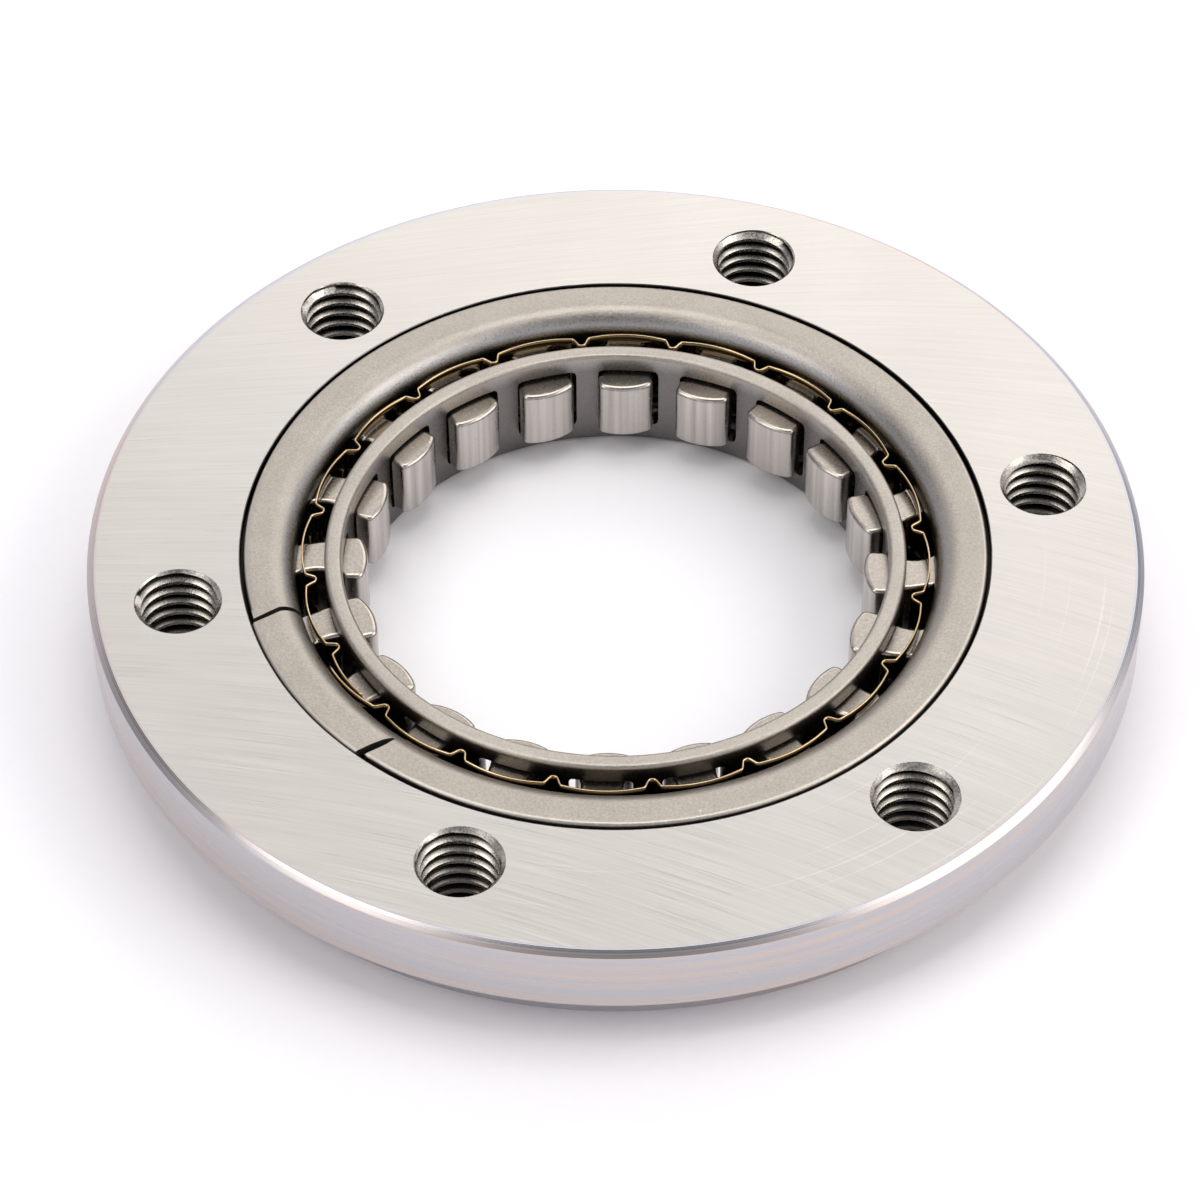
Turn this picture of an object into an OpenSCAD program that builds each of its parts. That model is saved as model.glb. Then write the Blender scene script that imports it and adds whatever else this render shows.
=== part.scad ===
// One-way starter clutch for a motorcycle.
// A thick outer-race housing with six tapped holes carries a drop-in sprag set:
// a flanged outer cage, an inner cage, a ribbon spring and twenty sprags.
// The axis of the clutch is +Z and the bottom face of the housing is at Z = 0.
// The first tapped hole lies on +X.

/* [Housing] */
// Outer diameter of the housing
housing_d = 90; // [88:0.5:100]
// Overall height of the housing
housing_h = 11; // [10.5:0.1:14]
// Height of the full-diameter rim, measured down from the top face
rim_h = 6.9; // [5:0.1:8]
// How far the lower register is stepped in from the rim, on the radius
register_step = 2.65; // [1:0.05:3]
// Width of the bevel round the top edge
top_bevel_w = 0.6; // [0.2:0.05:1]
// Depth of the bevel round the top edge
top_bevel_h = 0.45; // [0.2:0.05:1]
// Bevel on the lower edges of the rim and the register
lower_bevel = 0.5; // [0.2:0.05:1]
// Diameter of the ground race that the sprags grip
race_d = 61.11; // [60.6:0.01:62]
// How far the flange recess is wider than the race, on the radius
recess_step = 1.445; // [1.2:0.005:1.8]
// Depth of the recess that takes the cage flange
recess_depth = 1; // [0.9:0.05:1.4]
// Lead-in bevel at both ends of the race
race_bevel = 0.4; // [0.2:0.05:0.8]

/* [Tapped holes] */
// Number of tapped holes
hole_count = 6; // [3:1:6]
// Metal left between the flange recess and each hole
hole_inner_wall = 2.1; // [1.5:0.05:2.6]
// Metal left between each hole and the lower register
hole_outer_wall = 1.45; // [1.2:0.05:2]
// Width of the bevel at the mouth of each hole
hole_bevel = 0.3; // [0.1:0.05:0.5]

/* [Outer cage] */
// Thickness of the cage sheet
outer_sheet = 1; // [0.8:0.05:1.1]
// Free space between the race and the cage wall
race_to_cage = 2.205; // [2:0.005:2.4]
// Outer bend radius where the wall turns into the flange
bend_r = 2.2; // [1.6:0.05:2.4]
// How far the flange stands proud of the housing
flange_proud = 0.13; // [0.05:0.01:0.2]
// Free space between the flange rim and the recess
flange_gap = 0.38; // [0.2:0.01:0.5]
// Small bevel on the rim of the flange
flange_bevel = 0.2; // [0.1:0.05:0.3]
// Height of the cage's lower edge above the housing's bottom face
outer_cage_foot = 0.5; // [0.3:0.05:1]

/* [Drag tab] */
// Direction of the first slit
slit_a_angle = 186.4; // [184:0.1:188]
// Width of the first slit
slit_a_w = 0.35; // [0.25:0.05:0.6]
// Direction in which the second slit starts
slit_b_angle = 220.2; // [216:0.1:221]
// How far outside the cage wall the second slit starts
slit_b_start = 0.45; // [0.3:0.05:0.8]
// Width of the second slit
slit_b_w = 0.75; // [0.4:0.05:1]
// How far the second slit leans from the radius
slit_b_lean = 21; // [0:1:24]
// Running clearance between the drag tab and the recess
drag_gap = 0.08; // [0.05:0.01:0.15]
// Depth of both slits below the top of the flange
slit_depth = 2.3; // [2.2:0.05:2.4]

/* [Inner cage] */
// Thickness of the inner cage
inner_sheet = 1.5; // [1.2:0.05:1.6]
// Free space between the two cage walls
cage_space = 2.5; // [2.4:0.05:2.7]
// Height of the inner cage
inner_cage_h = 10.25; // [9.8:0.05:10.4]
// Height of the inner cage's lower edge above the housing's bottom face
inner_cage_foot = 0.1; // [0.05:0.05:0.5]
// Rounding of the inner cage's rim edges
inner_rim_round = 0.4; // [0.2:0.05:0.5]
// Width of each window in the inner cage
inner_window_w = 5.35; // [5.3:0.05:5.5]
// How far the windows sit back from the middle of the sprags
inner_window_back = 0.22; // [0.18:0.01:0.25]
// Corner radius of the windows in both cages
window_corner = 0.5; // [0.3:0.05:0.8]

/* [Ribbon spring] */
// Thickness of the spring strip
ribbon_t = 0.2; // [0.15:0.01:0.25]
// Height of the ribbon
ribbon_h = 8.7; // [8.5:0.1:9.4]
// Free space between the ribbon's crowns and the outer cage wall
ribbon_gap = 0.43; // [0.35:0.01:0.55]
// Crown of each arc between two kinks
ribbon_crown = 0.45; // [0.2:0.05:0.5]
// Depth of each kink
kink_depth = 0.65; // [0.4:0.05:0.7]
// Width of each kink
kink_w = 1.9; // [1.5:0.1:2.1]
// Width of the windows that the sprags pass through
ribbon_window_w = 4.7; // [4.6:0.05:5]
// Height of the opening lanced in each kink
lance_h = 2.8; // [2:0.1:3.4]
// Height of the tongue bent out of that opening
tongue_h = 2.3; // [1.6:0.1:2.3]
// Reach of the tongue towards the sprag, from the middle of the kink
tongue_reach = 1.1; // [0.8:0.05:1.2]
// How far the tongue's tip dips inside the kink
tongue_dip = 0.35; // [0.3:0.05:0.4]
// Direction of the ribbon's outer free end
ribbon_outer_end = 198.2; // [196.5:0.1:199]
// Length of the lap where the two ends overlap, as an angle
ribbon_lap = 8.8; // [7:0.1:9.5]
// Free space between the two strands in the lap
lap_gap = 0.08; // [0.06:0.01:0.1]

/* [Sprags] */
// Cage wall left between the sprag windows and the bend
window_margin = 0.33; // [0.3:0.01:0.6]
// Height of the sprags' lower ends above the housing's bottom face
sprag_foot = 2.4; // [2.3:0.05:2.6]
// Free space above and below a sprag in the cage windows
sprag_end_gap = 0.3; // [0.2:0.05:0.4]
// Direction of the first sprag
sprag_angle = 5.16; // [4:0.01:8]
// Radius of the outer cam surface
head_r = 2.425; // [2.2:0.005:2.5]
// Free space between the outer cam surface and the race
race_gap = 0.1; // [0.06:0.01:0.2]
// Sideways offset of the head from the middle of the window
head_shift = 1.2; // [1:0.05:1.4]
// How far the sprags reach inside the inner cage
tip_reach = 2.1; // [1.6:0.05:2.3]
// Radius of the inner cam surface
nose_cam_r = 5.5; // [5:0.1:6.5]
// Sideways offset of the inner cam surface
nose_shift = 0.45; // [0.2:0.05:0.6]
// Width of the nose
nose_w = 4.8; // [4.6:0.05:4.85]
// Corner radius of the nose
nose_corner = 0.65; // [0.4:0.05:0.8]
// Width of the waist
waist_w = 3.5; // [3.3:0.05:3.7]
// How far the waist sits outside the inner cage
waist_out = 0.4; // [0.3:0.05:0.5]
// Sideways offset of the waist
waist_shift = -0.1; // [-0.15:0.01:0]
// Radius of the hollow on each flank of the waist
waist_r = 3.6; // [3.4:0.05:4]
// Free space in front of a tipping sprag in the outer cage
swing_front_gap = 0.14; // [0.12:0.01:0.2]
// Free space behind a tipping sprag in the outer cage
swing_back_gap = 0.2; // [0.18:0.01:0.25]
// Angle that a sprag tips through
sprag_tilt = 12; // [8:1:12]

/* [Hidden] */
$fn = 96;
sprag_count = 20;
pitch = 360 / sprag_count;
eps = 0.01;

// Housing
race_r = race_d / 2;
recess_r = race_r + recess_step;
rim_r = housing_d / 2;
register_r = rim_r - register_step;
rim_foot = housing_h - rim_h;
hole_d = register_r - recess_r - hole_inner_wall - hole_outer_wall;
hole_circle_d = 2 * (recess_r + hole_inner_wall) + hole_d;
recess_floor = housing_h - recess_depth;

// Outer cage
flange_top = housing_h + flange_proud;
flange_r = recess_r - flange_gap;
drag_r = recess_r - drag_gap;
outer_wall_out = race_r - race_to_cage;
outer_wall_in = outer_wall_out - outer_sheet;
bend_x = outer_wall_in + bend_r;
bend_z = flange_top - bend_r;
slit_b_r = outer_wall_out + slit_b_start;
slit_b_rim_angle = slit_b_angle - slit_b_lean + asin(slit_b_r / flange_r * sin(slit_b_lean));

// Inner cage
inner_wall_out = outer_wall_in - cage_space;
inner_wall_in = inner_wall_out - inner_sheet;
inner_cage_top = inner_cage_foot + inner_cage_h;

// Windows, which end below the bend and are as tall as a sprag and its end gaps
window_foot = sprag_foot - sprag_end_gap;
window_top = bend_z - window_margin;
window_h = window_top - window_foot;
sprag_l = window_h - 2 * sprag_end_gap;

// Sprag outline, with X along the radius and Y towards the leaning side
head_x = race_r - race_gap - head_r;
tip_x = inner_wall_in - tip_reach;
cam_x = tip_x + nose_cam_r;
waist_x = inner_wall_out + waist_out;
nose_half = nose_w / 2;
waist_low = waist_shift - waist_w / 2;
waist_high = waist_shift + waist_w / 2;
shoulder_x = head_x + 0.37 * head_r;
shoulder_y = head_shift - sqrt(head_r * head_r - pow(shoulder_x - head_x, 2));

// How far the flanks of a sprag swing in each cage wall as it tips
swing_out = head_r + swing_front_gap;
swing_back = swing_back_gap - waist_low + (head_x - outer_wall_in) * sin(sprag_tilt);
outer_window_high = head_shift + swing_out;
outer_window_low = -swing_back;
inner_window_shift = -inner_window_back;

// Ribbon
ribbon_foot = window_foot + window_h / 2 - ribbon_h / 2;
ribbon_mid = ribbon_foot + ribbon_h / 2;
crown_r = outer_wall_in - ribbon_gap - ribbon_t / 2;
kink_angle = sprag_angle - pitch / 2;
lap_shift = (ribbon_t + lap_gap) / 2;
ribbon_turn = 360 + ribbon_lap;
ribbon_steps = 14;
ribbon_blend = 25;

// Angle of a point from the nearest kink, from minus half a pitch to plus half a pitch
function from_kink(a) = (a - kink_angle) - pitch * round((a - kink_angle) / pitch);

// Radius of the ribbon's middle surface at direction a
function crown_drop(u) = ribbon_crown * pow(1 - abs(u) / (pitch / 2), 2);
function kink_drop(s) = abs(s) < kink_w / 2 ? kink_depth * (0.5 + 0.5 * cos(360 * s / kink_w)) : 0;
function lap_drop(a) =
    lap_shift * (max(0, 1 - (a - ribbon_outer_end) / ribbon_blend)
    - max(0, 1 - (ribbon_outer_end + ribbon_turn - a) / ribbon_blend));
function ribbon_r(a) =
    crown_r - crown_drop(from_kink(a)) - kink_drop(crown_r * from_kink(a) * PI / 180) + lap_drop(a);

// Directions where the strip is sampled, closely in the kinks and widely in the arcs
function kink_half() = 180 * (kink_w / 2) / (PI * crown_r);
function fan(i) = i < 9
    ? kink_half() * (i - 4) / 4
    : kink_half() + (pitch - 2 * kink_half()) * (i - 8) / 6;
function strip_angles() = [
    for (k = [-1 : sprag_count + 2], i = [0 : ribbon_steps - 1])
        let (a = kink_angle + pitch * k + fan(i) + 180)
            if (a > ribbon_outer_end + 0.2 && a < ribbon_outer_end + ribbon_turn - 0.2) a
];
function strip_path() = concat([ribbon_outer_end], strip_angles(), [ribbon_outer_end + ribbon_turn]);
function polar(r, a) = [r * cos(a), r * sin(a)];
function unit(v) = v / norm(v);
function strip_side(p, side) = [
    for (i = [0 : len(p) - 1])
        let (
            here = polar(ribbon_r(p[i]), p[i]),
            back = i == 0 ? here : polar(ribbon_r(p[i - 1]), p[i - 1]),
            ahead = i == len(p) - 1 ? here : polar(ribbon_r(p[i + 1]), p[i + 1]),
            run = unit(ahead - back)
        )
            here + side * ribbon_t / 2 * [run[1], -run[0]]
];

// A block with rounded upright edges along Y and Z, standing on its corner, that cuts one window
module window_cut(x, y0, y1, z0, z1, depth) {
    translate([x, 0, 0])
        rotate([90, 0, 90])
            linear_extrude(height = depth)
                union() {
                    translate([y0 + window_corner, z0])
                        square([y1 - y0 - 2 * window_corner, z1 - z0]);
                    translate([y0, z0 + window_corner])
                        square([y1 - y0, z1 - z0 - 2 * window_corner]);
                    for (y = [y0 + window_corner, y1 - window_corner])
                        for (z = [z0 + window_corner, z1 - window_corner])
                            translate([y, z])
                                circle(r = window_corner, $fn = 24);
                }
}

module tapped_hole() {
    translate([hole_circle_d / 2, 0, -1])
        cylinder(h = housing_h + 2, d = hole_d);
    translate([hole_circle_d / 2, 0, housing_h - hole_bevel])
        cylinder(h = hole_bevel + eps, d1 = hole_d, d2 = hole_d + 2 * hole_bevel + 2 * eps);
    translate([hole_circle_d / 2, 0, -eps])
        cylinder(h = hole_bevel + eps, d1 = hole_d + 2 * hole_bevel + 2 * eps, d2 = hole_d);
}

module housing() {
    color("gainsboro")
        difference() {
            rotate_extrude()
                polygon([
                    [race_r + race_bevel, 0],
                    [register_r - lower_bevel, 0],
                    [register_r, lower_bevel],
                    [register_r, rim_foot],
                    [rim_r - lower_bevel, rim_foot],
                    [rim_r, rim_foot + lower_bevel],
                    [rim_r, housing_h - top_bevel_h],
                    [rim_r - top_bevel_w, housing_h],
                    [recess_r, housing_h],
                    [recess_r, recess_floor],
                    [race_r + race_bevel, recess_floor],
                    [race_r, recess_floor - race_bevel],
                    [race_r, race_bevel]
                ]);
            for (i = [0 : hole_count - 1])
                rotate(360 / hole_count * i)
                    tapped_hole();
        }
}

// Section of the outer cage: an upright wall, a bend and a flange out to the drag tab's reach
module outer_cage_section() {
    translate([outer_wall_in, outer_cage_foot])
        square([outer_sheet, bend_z - outer_cage_foot]);
    polygon([
        [bend_x, flange_top - outer_sheet],
        [drag_r - flange_bevel, flange_top - outer_sheet],
        [drag_r, flange_top - outer_sheet + flange_bevel],
        [drag_r, flange_top - flange_bevel],
        [drag_r - flange_bevel, flange_top],
        [bend_x, flange_top]
    ]);
    intersection() {
        translate([bend_x, bend_z])
            difference() {
                circle(r = bend_r, $fn = 64);
                circle(r = bend_r - outer_sheet, $fn = 64);
            }
        translate([outer_wall_in - 1, bend_z])
            square([bend_r + 1, bend_r + 1]);
    }
}

// Section of the trim that sets the rest of the flange back from the recess
module rim_trim() {
    polygon([
        [flange_r - flange_bevel, flange_top + 1],
        [flange_r - flange_bevel, flange_top],
        [flange_r, flange_top - flange_bevel],
        [flange_r, flange_top - outer_sheet + flange_bevel],
        [flange_r - flange_bevel, flange_top - outer_sheet],
        [flange_r - flange_bevel, flange_top - outer_sheet - 1],
        [drag_r + 1, flange_top - outer_sheet - 1],
        [drag_r + 1, flange_top + 1]
    ]);
}

module slit(angle, lean, width, start) {
    rotate(angle)
        translate([start, 0, flange_top - slit_depth])
            rotate(lean)
                translate([0, -width / 2, 0])
                    cube([flange_r, width, slit_depth + 1]);
}

module outer_cage() {
    color("darkgray")
        difference() {
            difference() {
                rotate_extrude()
                    outer_cage_section();
                rotate(slit_b_rim_angle)
                    rotate_extrude(angle = 360 - slit_b_rim_angle + slit_a_angle)
                        rim_trim();
            }
            slit(slit_a_angle, 0, slit_a_w, outer_wall_in - outer_sheet);
            slit(slit_b_angle, -slit_b_lean, slit_b_w, slit_b_r);
            for (i = [0 : sprag_count - 1])
                rotate(sprag_angle + pitch * i)
                    window_cut(outer_wall_in - 1, outer_window_low, outer_window_high,
                        window_foot, window_top, outer_sheet + 2);
        }
}

module inner_cage() {
    color("dimgray")
        difference() {
            rotate_extrude()
                union() {
                    translate([inner_wall_in, inner_cage_foot + inner_rim_round])
                        square([inner_sheet, inner_cage_h - 2 * inner_rim_round]);
                    translate([inner_wall_in + inner_rim_round, inner_cage_foot])
                        square([inner_sheet - 2 * inner_rim_round, inner_cage_h]);
                    for (x = [inner_wall_in + inner_rim_round, inner_wall_out - inner_rim_round])
                        for (z = [inner_cage_foot + inner_rim_round, inner_cage_top - inner_rim_round])
                            translate([x, z])
                                circle(r = inner_rim_round, $fn = 32);
                }
            for (i = [0 : sprag_count - 1])
                rotate(sprag_angle + pitch * i)
                    window_cut(inner_wall_in - 1, inner_window_shift - inner_window_w / 2,
                        inner_window_shift + inner_window_w / 2, window_foot, window_top, inner_sheet + 2);
        }
}

// Blade lanced from a kink, hinged on its near shoulder and bent in towards the next sprag
module tongue() {
    root = [crown_r - crown_drop(pitch * 0.155), -0.66 * kink_w];
    tip = [crown_r - ribbon_crown - kink_depth - tongue_dip, tongue_reach];
    run = tip - root;
    translate([root[0], root[1], ribbon_mid - tongue_h / 2])
        rotate(atan2(run[1], run[0]))
            translate([-ribbon_t / 2, -ribbon_t / 2, 0])
                cube([norm(run) + ribbon_t / 2, ribbon_t, tongue_h]);
}

module ribbon_spring() {
    path = strip_path();
    outer_side = strip_side(path, 1);
    inner_side = strip_side(path, -1);
    color("burlywood")
        union() {
            difference() {
                translate([0, 0, ribbon_foot])
                    linear_extrude(height = ribbon_h)
                        polygon(concat(outer_side, [for (i = [len(path) - 1 : -1 : 0]) inner_side[i]]));
                for (i = [0 : sprag_count - 1])
                    rotate(sprag_angle + pitch * i)
                        translate([crown_r - 2 * kink_depth, -ribbon_window_w / 2, window_foot])
                            cube([4 * kink_depth, ribbon_window_w, window_h]);
                for (i = [0 : sprag_count - 1])
                    rotate(kink_angle + pitch * i)
                        translate([crown_r - kink_w, -kink_w / 2, ribbon_mid - lance_h / 2])
                            cube([2 * kink_w, kink_w, lance_h]);
            }
            for (i = [0 : sprag_count - 1])
                rotate(kink_angle + pitch * i)
                    tongue();
        }
}

// Centre of a nose corner, which lies inside the inner cam surface and touches it
function corner_x(y) = cam_x - sqrt(pow(nose_cam_r - nose_corner, 2) - pow(y - nose_shift, 2));

module sprag_outline() {
    low = -(nose_half - nose_corner);
    high = nose_half - nose_corner;
    difference() {
        union() {
            intersection() {
                translate([cam_x, nose_shift])
                    circle(r = nose_cam_r);
                translate([tip_x - nose_corner, low])
                    square([nose_half + nose_corner, high - low]);
            }
            for (y = [low, high])
                translate([corner_x(y), y])
                    circle(r = nose_corner, $fn = 32);
            polygon([
                [corner_x(low), -nose_half],
                [waist_x, -nose_half],
                [waist_x, waist_low],
                [shoulder_x, shoulder_y],
                [head_x, head_shift],
                [head_x, head_shift + head_r * 0.9],
                [waist_x + nose_corner, nose_half],
                [corner_x(high), nose_half]
            ]);
            translate([head_x, head_shift])
                circle(r = head_r);
        }
        translate([waist_x, waist_high + waist_r])
            circle(r = waist_r);
        translate([waist_x, waist_low - waist_r])
            circle(r = waist_r);
    }
}

module sprag(number) {
    color("silver")
        rotate(sprag_angle + pitch * (number - 1))
            translate([0, 0, sprag_foot])
                linear_extrude(height = sprag_l)
                    sprag_outline();
}

housing();
outer_cage();
inner_cage();
ribbon_spring();
sprag(1);  // sprag_01
sprag(2);  // sprag_02
sprag(3);  // sprag_03
sprag(4);  // sprag_04
sprag(5);  // sprag_05
sprag(6);  // sprag_06
sprag(7);  // sprag_07
sprag(8);  // sprag_08
sprag(9);  // sprag_09
sprag(10);  // sprag_10
sprag(11);  // sprag_11
sprag(12);  // sprag_12
sprag(13);  // sprag_13
sprag(14);  // sprag_14
sprag(15);  // sprag_15
sprag(16);  // sprag_16
sprag(17);  // sprag_17
sprag(18);  // sprag_18
sprag(19);  // sprag_19
sprag(20);  // sprag_20
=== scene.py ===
"""Looks of a one-way starter clutch for a motorcycle.

The housing is ground and turned steel with tapped holes, the cages are blasted sheet steel, the
ribbon spring is tempered strip and the sprags are tumbled. Lengths are millimetres until MM turns
them to metres. The clutch axis is +Z and the first tapped hole is on +X.
"""

import math

import bmesh
import bpy
import numpy as np
from mathutils import Matrix, Vector


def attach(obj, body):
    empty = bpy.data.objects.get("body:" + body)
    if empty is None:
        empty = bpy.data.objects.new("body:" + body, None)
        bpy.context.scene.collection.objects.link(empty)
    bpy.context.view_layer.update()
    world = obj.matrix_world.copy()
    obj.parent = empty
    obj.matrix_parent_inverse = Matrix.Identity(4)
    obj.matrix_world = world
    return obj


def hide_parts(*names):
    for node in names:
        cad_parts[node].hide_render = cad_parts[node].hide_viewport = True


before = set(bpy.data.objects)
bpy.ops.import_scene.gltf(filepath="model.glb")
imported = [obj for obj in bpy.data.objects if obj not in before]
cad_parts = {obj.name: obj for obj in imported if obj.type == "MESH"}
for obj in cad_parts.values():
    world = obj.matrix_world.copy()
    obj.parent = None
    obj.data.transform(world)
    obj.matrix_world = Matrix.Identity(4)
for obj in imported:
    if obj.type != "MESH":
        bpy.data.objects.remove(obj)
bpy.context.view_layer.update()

MM = 0.001

# The first hole lies this many degrees round from the camera's right
HOLE_TURN = 10.51

# Housing, as in the solids
RACE_R = 30.555
RECESS_R = 32.0
REGISTER_R = 42.35
RIM_R = 45.0
TOP_Z = 11.0
RECESS_Z = 10.0
RIM_FOOT_Z = 4.1
HOLE_R_CIRCLE = 37.5

# Where the housing's two flat faces begin and end
TOP_FACE = (32.09, 44.2)
UNDERSIDE = (31.15, 41.6)

# Thread: its shares of the pitch are where crest, flank, root and flank begin
THREAD_PITCH = 1.25
CREST_R = 3.2
ROOT_R = 3.72
THREAD_SHARES = [0, 0.25, 0.52, 0.72]

# Cages, as in the solids; the outer cage's radii and heights run through the middle of its metal
SPRAGS = 20
FIRST_SPRAG = 5.16
STEP = 360 / SPRAGS
WINDOW_LOW = 2.1
WINDOW_HIGH = 8.6
WINDOW_MIDDLE = (WINDOW_LOW + WINDOW_HIGH) / 2
OUTER_CAGE_R = 27.85
BEND_FOOT_Z = 8.8
BEND_R = 1.7
FLANGE_Z = 10.63
INNER_CAGE_IN = 23.35
INNER_CAGE_OUT = 24.85

# The flange and the inner cage's rims are cut into columns half a degree wide
COLUMN = 0.5
COLUMNS = FIRST_SPRAG - STEP / 2 + COLUMN * np.arange(720)

# Ribbon spring: its middle surface, the directions of its two ends and half a kink
RIBBON_R = 26.82
RIBBON_START = 198.2
RIBBON_END = 567.0
FIRST_KINK = FIRST_SPRAG - STEP / 2
KINK_HALF = 0.95


# ---------------------------------------------------------------- camera


def photo_camera():
    """The view solved from the traced edges of the rim, the recess and the six hole mouths."""
    rise, pan, tilt, roll = np.radians([46.4520, 0.184807, -0.693293, 0.041486])
    distance = 0.408244
    turn_to_hole = Matrix.Rotation(math.radians(-HOLE_TURN), 3, "Z")
    place = Vector((0, -math.cos(rise), math.sin(rise))) * distance
    forward = -place.normalized()
    right = Vector((1, 0, 0))
    up = right.cross(forward)
    pan = Matrix.Rotation(pan, 3, up)
    forward, right = pan @ forward, pan @ right
    tilt = Matrix.Rotation(tilt, 3, right)
    forward, up = tilt @ forward, tilt @ up
    roll = Matrix.Rotation(roll, 3, forward)
    right, up = roll @ right, roll @ up
    axes = [turn_to_hole @ axis for axis in (right, up, -forward)]
    lens = bpy.data.cameras.new("photo_camera")
    lens.sensor_width = 36
    lens.lens = 143.661
    lens.clip_start = 0.01
    lens.clip_end = 20
    camera = bpy.data.objects.new("photo_camera", lens)
    camera.matrix_world = (
        Matrix.Translation(turn_to_hole @ place + Vector((0, 0, TOP_Z * MM)))
        @ Matrix(axes).transposed().to_4x4()
    )
    bpy.context.scene.collection.objects.link(camera)
    bpy.context.scene.camera = camera


photo_camera()


# ---------------------------------------------------------------- surfaces


def polar(radius, degrees, z):
    """Points at the radius, direction and height: x = r cos a, y = r sin a."""
    angle = np.radians(degrees)
    radius, angle, z = np.broadcast_arrays(radius, angle, z)
    return np.stack([radius * np.cos(angle), radius * np.sin(angle), z], -1)


def turned(points, degrees):
    """The points turned about the clutch axis."""
    c, s = math.cos(math.radians(degrees)), math.sin(math.radians(degrees))
    return points @ np.array([[c, s, 0], [-s, c, 0], [0, 0, 1]])


def from_nearest(angle, first, step):
    """Degrees from the nearest of the directions that repeat every step from the first one."""
    return (angle - first) - step * np.round((angle - first) / step)


def grid(points, finish=0, keep=None, closed=False):
    """A grid of points (rows, columns, 3) with the corner numbers of its cells.

    Cell (i, j) has the corners (i, j), (i, j + 1), (i + 1, j + 1) and (i + 1, j); a closed grid
    joins its last column to the first. keep marks the cells that stay.
    """
    rows, cols = points.shape[:2]
    i, j = np.meshgrid(np.arange(rows - 1), np.arange(cols if closed else cols - 1), indexing="ij")
    ahead = (j + 1) % cols
    cells = np.stack(
        [i * cols + j, i * cols + ahead, (i + 1) * cols + ahead, (i + 1) * cols + j], -1
    )
    cells = cells.reshape(-1, 4) if keep is None else cells[keep]
    return points.reshape(-1, 3), cells, finish


def surface(name, grids, finishes, sharp=35.0, welded=0.0004):
    """One mesh made of several grids, welded where their edges meet."""
    counts = np.cumsum([0] + [len(points) for points, _, _ in grids])
    points = np.concatenate([points for points, _, _ in grids]) * MM
    cells = np.concatenate([cells + start for (_, cells, _), start in zip(grids, counts)])
    finish = np.concatenate([np.full(len(cells), index) for _, cells, index in grids])
    mesh = bpy.data.meshes.new(name)
    mesh.vertices.add(len(points))
    mesh.vertices.foreach_set("co", points.ravel())
    mesh.loops.add(cells.size)
    mesh.loops.foreach_set("vertex_index", cells.ravel())
    mesh.polygons.add(len(cells))
    mesh.polygons.foreach_set("loop_start", np.arange(0, cells.size, 4))
    mesh.polygons.foreach_set("material_index", finish)
    mesh.update(calc_edges=True)
    joined = bmesh.new()
    joined.from_mesh(mesh)
    bmesh.ops.remove_doubles(joined, verts=joined.verts, dist=welded * MM)
    bmesh.ops.dissolve_degenerate(joined, edges=joined.edges, dist=welded * MM / 4)
    joined.to_mesh(mesh)
    joined.free()
    mesh.shade_smooth()
    mesh.set_sharp_from_angle(angle=math.radians(sharp))
    for finish in finishes:
        mesh.materials.append(finish)
    made = bpy.data.objects.new(name, mesh)
    bpy.context.scene.collection.objects.link(made)
    return made


def mesh_places(made):
    """Distance from the clutch axis, direction round it in radians, and height of each point."""
    places = np.empty(len(made.data.vertices) * 3)
    made.data.vertices.foreach_get("co", places)
    x, y, z = places.reshape(-1, 3).T / MM
    return np.hypot(x, y), np.arctan2(y, x), z


def rounded(corners, radius, steps=4):
    """A profile whose inner corners are arcs: each arc touches both edges of its corner.

    Its centre is on the corner's bisector at radius / sin(half angle), and its points turn evenly
    from one touching point to the other.
    """
    corners = np.asarray(corners, float)
    here = corners[1:-1]
    back = corners[:-2] - here
    on = corners[2:] - here
    back /= np.linalg.norm(back, axis=1, keepdims=True)
    on /= np.linalg.norm(on, axis=1, keepdims=True)
    half = np.arccos(np.clip((back * on).sum(1), -1, 1))[:, None] / 2
    middle = (back + on) / np.linalg.norm(back + on, axis=1, keepdims=True)
    centre = here + middle * radius / np.sin(half)
    first = (here + back * radius / np.tan(half) - centre) / radius
    last = (here + on * radius / np.tan(half) - centre) / radius
    share = np.linspace(0, 1, steps + 1)[None, :, None]
    sweep = (math.pi - 2 * half)[:, :, None]
    arc = (
        np.sin((1 - share) * sweep) * first[:, None] + np.sin(share * sweep) * last[:, None]
    ) / np.sin(sweep)
    arc = centre[:, None] + radius * arc
    return np.concatenate([corners[:1], arc.reshape(-1, 2), corners[-1:]])


def spun(profile, columns, finish=0):
    """The (r, z) profile carried once round the clutch axis, closed."""
    points = polar(profile[:, :1], columns[None, :], profile[:, 1:])
    return grid(points, finish, closed=True)


def window_reach(run, half, corner):
    """How far each direction runs from a rounded window's middle to its edge.

    The edge is where the distance formula of the rounded rectangle is zero; it is found by
    halving the step 40 times.
    """
    run = run / np.linalg.norm(run, axis=-1, keepdims=True)
    reach = np.zeros(run.shape[:-1])
    step = float(max(half)) * 2
    for _ in range(40):
        step /= 2
        q = np.abs(run * (reach + step)[..., None]) - (np.array(half) - corner)
        outside = np.linalg.norm(np.maximum(q, 0), axis=-1) + np.minimum(q.max(-1), 0) - corner
        reach = np.where(outside < 0, reach + step, reach)
    return run * reach[..., None]


def frame_round(low, high, across, up):
    """Points once round a rectangle, from its lower left corner and anticlockwise."""
    (x0, y0), (x1, y1) = low, high
    a = np.arange(across) / across
    b = np.arange(up) / up
    x = [x0 + (x1 - x0) * a, np.full(up, x1), x1 - (x1 - x0) * a, np.full(up, x0)]
    y = [np.full(across, y0), y0 + (y1 - y0) * b, np.full(across, y1), y1 - (y1 - y0) * b]
    return np.stack([np.concatenate(x), np.concatenate(y)], -1)


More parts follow.
